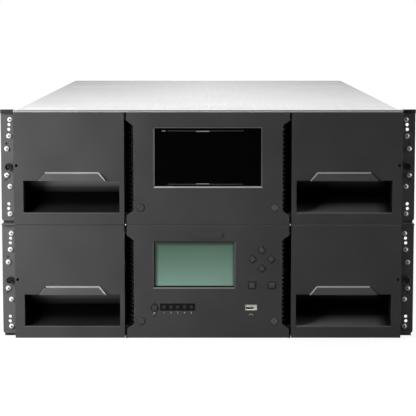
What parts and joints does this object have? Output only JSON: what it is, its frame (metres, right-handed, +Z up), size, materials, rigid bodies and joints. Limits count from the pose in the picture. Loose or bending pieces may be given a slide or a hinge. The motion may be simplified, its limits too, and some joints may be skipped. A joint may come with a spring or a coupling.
{
  "type": "data tape library",
  "caption": "Rack-mounted data tape library: two stacked modules with pull-out cartridge magazines, display and keys, a climbing picker robot and plug-in tape drives.",
  "frame": {"origin": "middle of the underside of the whole bounding box", "axes": "+Y from the front panels to the rear panel, +Z up, +X to the right seen from the front"},
  "size_m": [0.4826, 0.8962, 0.2667],
  "materials": {
    "zinc_sheet": "satin zinc plated sheet",
    "cover_paint": "satin light grey",
    "bright_steel": "brushed",
    "ear_paint": "fine textured powder coat",
    "black_screw": "black oxide",
    "bezel_plastic": "fine spark texture",
    "front_plastic": "fine spark texture",
    "black_plastic": "matt",
    "key_plastic": "satin",
    "dark_glass": "clear dark tint, polished",
    "display_glass": "clear lens over a grey-green display",
    "circuit_board": "solder mask",
    "light_lens": "translucent",
    "magazine_plastic": "moulded",
    "cartridge_plastic": "moulded"
  },
  "bodies": {
    "library": {"lower_chassis": "zinc_sheet", "upper_chassis": "zinc_sheet", "rear_panels": "zinc_sheet", "bottom_cover": "zinc_sheet", "top_cover": "cover_paint", "drive_cages": "bright_steel", "rack_ears": "ear_paint", "panel_screws": "bright_steel", "captive_rack_screws": "black_screw", "lower_bezel": "bezel_plastic", "upper_bezel": "bezel_plastic", "vent_grilles": "black_plastic", "observation_window": "dark_glass", "window_retainer": "black_plastic", "display_frame": "black_plastic", "display_screen": "display_glass", "panel_boards": "circuit_board", "status_strip": "black_plastic", "status_lights": "light_lens", "usb_port": "bright_steel", "bezel_plugs": "bezel_plastic", "gear_racks": "bright_steel", "bay_covers": "zinc_sheet", "rear_cards": "zinc_sheet"},
    "lower_left_drawer": {"lower_left_magazine": "magazine_plastic", "lower_left_magazine_front": "front_plastic", "lower_left_cartridges": "cartridge_plastic"},
    "lower_right_drawer": {"lower_right_magazine": "magazine_plastic", "lower_right_magazine_front": "front_plastic", "lower_right_cartridges": "cartridge_plastic"},
    "upper_left_drawer": {"upper_left_magazine": "magazine_plastic", "upper_left_magazine_front": "front_plastic", "upper_left_cartridges": "cartridge_plastic"},
    "upper_right_drawer": {"upper_right_magazine": "magazine_plastic", "upper_right_magazine_front": "front_plastic", "upper_right_cartridges": "cartridge_plastic"},
    "up_key_body": {"up_key": "key_plastic"},
    "down_key_body": {"down_key": "key_plastic"},
    "left_key_body": {"left_key": "key_plastic"},
    "right_key_body": {"right_key": "key_plastic"},
    "cancel_key_body": {"cancel_key": "key_plastic"},
    "enter_key_body": {"enter_key": "key_plastic"},
    "power_key_body": {"power_key": "key_plastic"},
    "lift": {"robot_tray": "bright_steel", "robot_motors": "black_plastic"},
    "front_shaft": {"front_lift_shaft": "bright_steel"},
    "rear_left_shaft": {"rear_left_pinion": "bright_steel"},
    "rear_right_shaft": {"rear_right_pinion": "bright_steel"},
    "carriage": {"robot_carriage": "bright_steel"},
    "crank": {"carriage_pinion": "bright_steel"},
    "cradle": {"turntable": "black_plastic", "barcode_reader": "black_plastic"},
    "picker": {"gripper": "bright_steel"},
    "lower_drive_sled": {"lower_tape_drive": "zinc_sheet"},
    "middle_drive_sled": {"middle_tape_drive": "zinc_sheet"},
    "upper_drive_sled": {"upper_tape_drive": "zinc_sheet"},
    "lower_supply": {"lower_power_supply": "zinc_sheet"},
    "lower_fan_rotor": {"lower_fan": "black_plastic"},
    "upper_supply": {"upper_power_supply": "zinc_sheet"},
    "upper_fan_rotor": {"upper_fan": "black_plastic"}
  },
  "joints": [
    {"name": "lower_left_magazine_slide", "type": "slide", "parent": "library", "child": "lower_left_drawer", "axis": [0, -1, 0], "range_m": [0, 0.46]},
    {"name": "lower_right_magazine_slide", "type": "slide", "parent": "library", "child": "lower_right_drawer", "axis": [0, -1, 0], "range_m": [0, 0.46]},
    {"name": "upper_left_magazine_slide", "type": "slide", "parent": "library", "child": "upper_left_drawer", "axis": [0, -1, 0], "range_m": [0, 0.46]},
    {"name": "upper_right_magazine_slide", "type": "slide", "parent": "library", "child": "upper_right_drawer", "axis": [0, -1, 0], "range_m": [0, 0.46]},
    {"name": "up_key_press", "type": "slide", "parent": "library", "child": "up_key_body", "axis": [0, 1, 0], "range_m": [0, 0.001], "stiffness_N_per_m": 400, "springref_m": -0.0005},
    {"name": "down_key_press", "type": "slide", "parent": "library", "child": "down_key_body", "axis": [0, 1, 0], "range_m": [0, 0.001], "stiffness_N_per_m": 400, "springref_m": -0.0005},
    {"name": "left_key_press", "type": "slide", "parent": "library", "child": "left_key_body", "axis": [0, 1, 0], "range_m": [0, 0.001], "stiffness_N_per_m": 400, "springref_m": -0.0005},
    {"name": "right_key_press", "type": "slide", "parent": "library", "child": "right_key_body", "axis": [0, 1, 0], "range_m": [0, 0.001], "stiffness_N_per_m": 400, "springref_m": -0.0005},
    {"name": "cancel_key_press", "type": "slide", "parent": "library", "child": "cancel_key_body", "axis": [0, 1, 0], "range_m": [0, 0.001], "stiffness_N_per_m": 400, "springref_m": -0.0005},
    {"name": "enter_key_press", "type": "slide", "parent": "library", "child": "enter_key_body", "axis": [0, 1, 0], "range_m": [0, 0.001], "stiffness_N_per_m": 400, "springref_m": -0.0005},
    {"name": "power_key_press", "type": "slide", "parent": "library", "child": "power_key_body", "axis": [0, 1, 0], "range_m": [0, 0.001], "stiffness_N_per_m": 400, "springref_m": -0.0005},
    {"name": "robot_lift", "type": "slide", "parent": "library", "child": "lift", "axis": [0, 0, 1], "range_m": [0, 0.22775]},
    {"name": "front_shaft_turn", "type": "hinge", "parent": "lift", "child": "front_shaft", "pos_m": [0, -0.40492, 0.018], "axis": [1, 0, 0], "range_deg": [0, 1077]},
    {"name": "rear_left_pinion_turn", "type": "hinge", "parent": "lift", "child": "rear_left_shaft", "pos_m": [-0.084, 0.10722, 0.018], "axis": [1, 0, 0], "range_deg": [-1077, 0]},
    {"name": "rear_right_pinion_turn", "type": "hinge", "parent": "lift", "child": "rear_right_shaft", "pos_m": [0.084, 0.10722, 0.018], "axis": [1, 0, 0], "range_deg": [-1077, 0]},
    {"name": "carriage_travel", "type": "slide", "parent": "lift", "child": "carriage", "axis": [0, -1, 0], "range_m": [0, 0.3315]},
    {"name": "carriage_pinion_turn", "type": "hinge", "parent": "carriage", "child": "crank", "pos_m": [0.0699, -0.0468, 0.011], "axis": [0, 0, 1], "range_deg": [0, 1568]},
    {"name": "turntable_turn", "type": "hinge", "parent": "carriage", "child": "cradle", "pos_m": [0, 0.0232, 0.006], "axis": [0, 0, 1], "range_deg": [-180, 0]},
    {"name": "gripper_reach", "type": "slide", "parent": "cradle", "child": "picker", "axis": [-1, 0, 0], "range_m": [0, 0.053]},
    {"name": "lower_drive_slide", "type": "slide", "parent": "library", "child": "lower_drive_sled", "axis": [0, 1, 0], "range_m": [0, 0.25]},
    {"name": "middle_drive_slide", "type": "slide", "parent": "library", "child": "middle_drive_sled", "axis": [0, 1, 0], "range_m": [0, 0.25]},
    {"name": "upper_drive_slide", "type": "slide", "parent": "library", "child": "upper_drive_sled", "axis": [0, 1, 0], "range_m": [0, 0.25]},
    {"name": "lower_supply_slide", "type": "slide", "parent": "library", "child": "lower_supply", "axis": [0, 1, 0], "range_m": [0, 0.2]},
    {"name": "lower_fan_spin", "type": "hinge", "parent": "lower_supply", "child": "lower_fan_rotor", "pos_m": [-0.174, 0.4084, 0.0687], "axis": [0, 1, 0], "continuous": true},
    {"name": "upper_supply_slide", "type": "slide", "parent": "library", "child": "upper_supply", "axis": [0, 1, 0], "range_m": [0, 0.2]},
    {"name": "upper_fan_spin", "type": "hinge", "parent": "upper_supply", "child": "upper_fan_rotor", "pos_m": [-0.174, 0.4084, 0.20205], "axis": [0, 1, 0], "continuous": true}
  ],
  "couplings": [
    {"joint": "front_shaft_turn", "follows": "robot_lift", "rad_per_m": 82.457},
    {"joint": "rear_left_pinion_turn", "follows": "robot_lift", "rad_per_m": -82.457},
    {"joint": "rear_right_pinion_turn", "follows": "robot_lift", "rad_per_m": -82.457},
    {"joint": "carriage_pinion_turn", "follows": "carriage_travel", "rad_per_m": 82.457}
  ]
}
